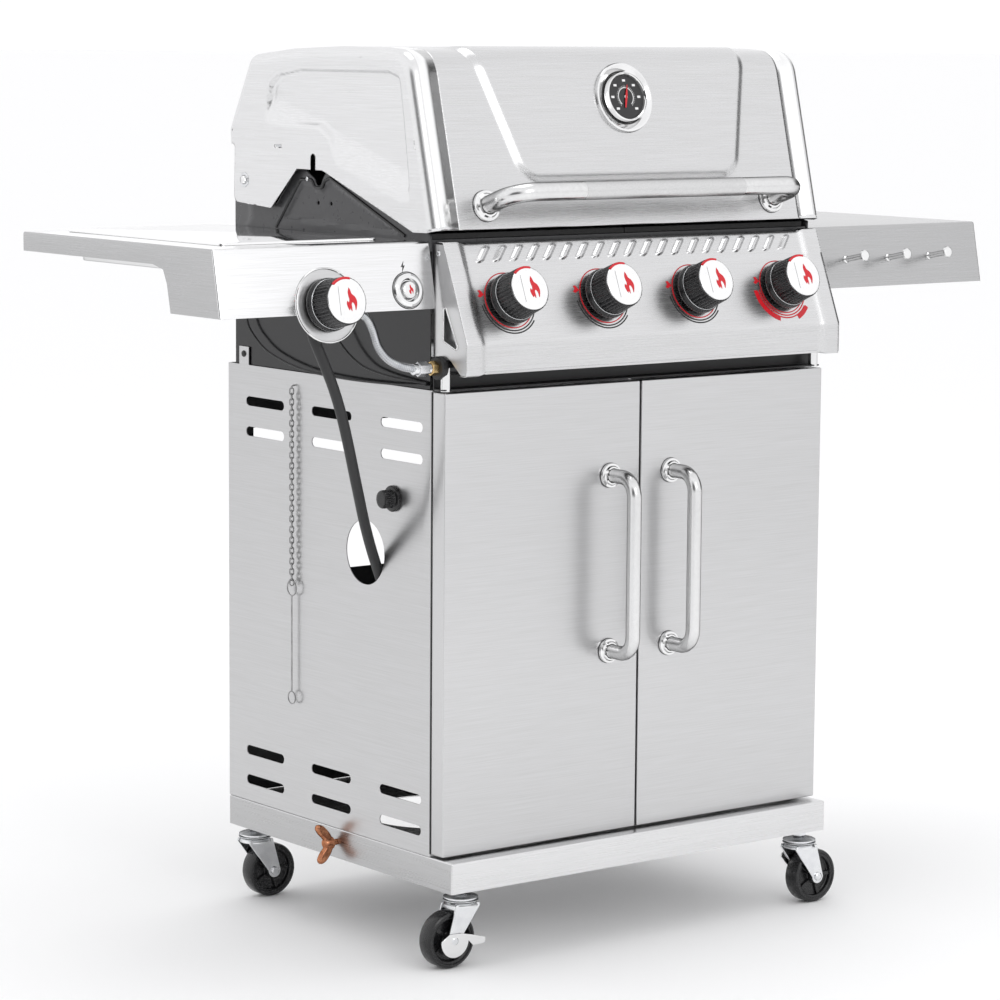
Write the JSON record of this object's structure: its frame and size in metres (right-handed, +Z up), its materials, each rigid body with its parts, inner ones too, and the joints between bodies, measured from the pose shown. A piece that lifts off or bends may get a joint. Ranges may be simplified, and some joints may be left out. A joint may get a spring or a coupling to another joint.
{
  "type": "gas barbecue grill",
  "caption": "Stainless cabinet gas barbecue on casters, with a hinged hood over burners and grates, front knobs, two doors, side shelves, a lidded side burner and a gas hose.",
  "frame": {"origin": "bottom centre of the bounding box, on the floor under the wheels, halfway between the knobs' faces and the base tray's rear wall", "axes": "+X runs along the front to the shelf with the hooks, -Y is the front with the doors and knobs, +Z is up"},
  "size_m": [1.3, 0.5674, 1.1872],
  "materials": {
    "brushed_steel": "satin stainless sheet",
    "satin_tube": "smooth satin stainless tube",
    "polished_steel": "polished",
    "black_enamel": "dark grey enamel, slightly glossy",
    "black_steel": "black powder coat",
    "galvanised": "zinc-coated steel",
    "grate_iron": "matt black cast iron",
    "zinc": "bright zinc plate",
    "brass": "bright brass",
    "copper": "copper-coloured plating",
    "black_plastic": "black, semi-gloss",
    "caster_plastic": "black, satin",
    "hose_rubber": "black, satin"
  },
  "bodies": {
    "stand": {"base_tray": "brushed_steel", "side_panel_left": "brushed_steel", "side_panel_right": "brushed_steel", "rear_panel": "black_steel", "front_crossbar": "black_steel", "firebox": "black_enamel", "firebox_plate_left": "black_enamel", "firebox_plate_right": "black_enamel", "control_panel": "brushed_steel", "gas_manifold": "galvanised", "burner_1": "brushed_steel", "burner_2": "brushed_steel", "burner_3": "brushed_steel", "burner_4": "brushed_steel", "heat_tent_1": "brushed_steel", "heat_tent_2": "brushed_steel", "heat_tent_3": "brushed_steel", "heat_tent_4": "brushed_steel", "cooking_grate_left": "grate_iron", "cooking_grate_right": "grate_iron", "warming_rack": "zinc", "shelf_left": "brushed_steel", "shelf_right": "brushed_steel", "side_burner": "brass", "side_burner_grate": "grate_iron", "gas_line": "galvanised", "lp_hose": "hose_rubber", "gas_regulator": "galvanised"},
    "hood": {"hood_panel": "brushed_steel", "hood_end_left": "brushed_steel", "hood_end_right": "brushed_steel", "hood_handle": "satin_tube", "temperature_gauge": "polished_steel"},
    "left_door": {"door_left": "brushed_steel", "door_left_handle": "satin_tube"},
    "right_door": {"door_right": "brushed_steel", "door_right_handle": "satin_tube"},
    "knob_1": {"knob_1": "black_plastic"},
    "knob_2": {"knob_2": "black_plastic"},
    "knob_3": {"knob_3": "black_plastic"},
    "knob_4": {"knob_4": "black_plastic"},
    "side_knob": {"side_burner_knob": "black_plastic"},
    "igniter": {"igniter_button": "polished_steel"},
    "side_lid": {"side_burner_lid": "polished_steel"},
    "drip_tray": {"grease_tray": "galvanised"},
    "drip_cup": {"grease_cup": "galvanised"},
    "battery_cap": {"battery_cap": "black_plastic"},
    "tank_screw": {"tank_screw": "copper"},
    "chain": {"lighting_chain": "zinc"},
    "rod": {"lighting_rod": "zinc"},
    "fork_front_left": {"caster_fork_front_left": "zinc"},
    "wheel_front_left": {"caster_wheel_front_left": "caster_plastic"},
    "brake_front_left": {"brake_lever_front_left": "zinc"},
    "fork_front_right": {"caster_fork_front_right": "zinc"},
    "wheel_front_right": {"caster_wheel_front_right": "caster_plastic"},
    "brake_front_right": {"brake_lever_front_right": "zinc"},
    "fork_rear_left": {"caster_fork_rear_left": "zinc"},
    "wheel_rear_left": {"caster_wheel_rear_left": "caster_plastic"},
    "fork_rear_right": {"caster_fork_rear_right": "zinc"},
    "wheel_rear_right": {"caster_wheel_rear_right": "caster_plastic"}
  },
  "joints": [
    {"name": "hood_hinge", "type": "hinge", "parent": "stand", "child": "hood", "pos_m": [0, 0.23135, 1.006], "axis": [-1, 0, 0], "range_deg": [0, 85]},
    {"name": "left_door_hinge", "type": "hinge", "parent": "stand", "child": "left_door", "pos_m": [-0.316, -0.20515, 0.15], "axis": [0, 0, -1], "range_deg": [0, 110]},
    {"name": "right_door_hinge", "type": "hinge", "parent": "stand", "child": "right_door", "pos_m": [0.316, -0.20515, 0.15], "axis": [0, 0, 1], "range_deg": [0, 110]},
    {"name": "knob_1_turn", "type": "hinge", "parent": "stand", "child": "knob_1", "pos_m": [-0.2335, -0.23244, 0.869], "axis": [0, -0.9263, 0.3769], "range_deg": [0, 200]},
    {"name": "knob_2_turn", "type": "hinge", "parent": "stand", "child": "knob_2", "pos_m": [-0.0785, -0.23244, 0.869], "axis": [0, -0.9263, 0.3769], "range_deg": [0, 200]},
    {"name": "knob_3_turn", "type": "hinge", "parent": "stand", "child": "knob_3", "pos_m": [0.0785, -0.23244, 0.869], "axis": [0, -0.9263, 0.3769], "range_deg": [0, 200]},
    {"name": "knob_4_turn", "type": "hinge", "parent": "stand", "child": "knob_4", "pos_m": [0.2335, -0.23244, 0.869], "axis": [0, -0.9263, 0.3769], "range_deg": [0, 200]},
    {"name": "side_knob_turn", "type": "hinge", "parent": "stand", "child": "side_knob", "pos_m": [-0.4915, -0.19301, 0.869], "axis": [0, -0.9803, 0.1977], "range_deg": [0, 200]},
    {"name": "igniter_push", "type": "slide", "parent": "stand", "child": "igniter", "axis": [0, 0.9803, -0.1977], "range_m": [0, 0.004], "stiffness_N_per_m": 400, "springref_m": -0.001},
    {"name": "side_lid_hinge", "type": "hinge", "parent": "stand", "child": "side_lid", "pos_m": [-0.485, 0.24335, 0.943], "axis": [-1, 0, 0], "range_deg": [0, 90]},
    {"name": "drip_tray_slide", "type": "slide", "parent": "stand", "child": "drip_tray", "axis": [0, 1, 0], "range_m": [0, 0.3]},
    {"name": "drip_cup_slide", "type": "slide", "parent": "stand", "child": "drip_cup", "axis": [0, -1, 0], "range_m": [0, 0.12]},
    {"name": "battery_cap_turn", "type": "hinge", "parent": "stand", "child": "battery_cap", "pos_m": [-0.3256, -0.10665, 0.606], "axis": [-1, 0, 0], "continuous": true},
    {"name": "tank_screw_turn", "type": "hinge", "parent": "stand", "child": "tank_screw", "pos_m": [-0.342, 0.02135, 0.127], "axis": [1, 0, 0], "continuous": true},
    {"name": "chain_swing", "type": "hinge", "parent": "stand", "child": "chain", "pos_m": [-0.3315, 0.11885, 0.731], "axis": [1, 0, 0], "range_deg": [-20, 20]},
    {"name": "rod_swing", "type": "hinge", "parent": "chain", "child": "rod", "pos_m": [-0.3315, 0.11885, 0.465], "axis": [1, 0, 0], "range_deg": [-40, 40]},
    {"name": "swivel_front_left", "type": "hinge", "parent": "stand", "child": "fork_front_left", "pos_m": [-0.2835, -0.20065, 0.08], "axis": [0, 0, 1], "continuous": true},
    {"name": "roll_front_left", "type": "hinge", "parent": "fork_front_left", "child": "wheel_front_left", "pos_m": [-0.3055, -0.20065, 0.0375], "axis": [0, 1, 0], "continuous": true},
    {"name": "brake_front_left", "type": "hinge", "parent": "fork_front_left", "child": "brake_front_left", "pos_m": [-0.3055, -0.20065, 0.0375], "axis": [0, -1, 0], "range_deg": [0, 45]},
    {"name": "swivel_front_right", "type": "hinge", "parent": "stand", "child": "fork_front_right", "pos_m": [0.2985, -0.21465, 0.08], "axis": [0, 0, 1], "continuous": true},
    {"name": "roll_front_right", "type": "hinge", "parent": "fork_front_right", "child": "wheel_front_right", "pos_m": [0.3205, -0.21465, 0.0375], "axis": [0, 1, 0], "continuous": true},
    {"name": "brake_front_right", "type": "hinge", "parent": "fork_front_right", "child": "brake_front_right", "pos_m": [0.3205, -0.21465, 0.0375], "axis": [0, -1, 0], "range_deg": [0, 45]},
    {"name": "swivel_rear_left", "type": "hinge", "parent": "stand", "child": "fork_rear_left", "pos_m": [-0.2975, 0.25965, 0.08], "axis": [0, 0, 1], "continuous": true},
    {"name": "roll_rear_left", "type": "hinge", "parent": "fork_rear_left", "child": "wheel_rear_left", "pos_m": [-0.2755, 0.25965, 0.0375], "axis": [0, 1, 0], "continuous": true},
    {"name": "swivel_rear_right", "type": "hinge", "parent": "stand", "child": "fork_rear_right", "pos_m": [0.2985, 0.25965, 0.08], "axis": [0, 0, 1], "continuous": true},
    {"name": "roll_rear_right", "type": "hinge", "parent": "fork_rear_right", "child": "wheel_rear_right", "pos_m": [0.2765, 0.25965, 0.0375], "axis": [0, 1, 0], "continuous": true}
  ]
}
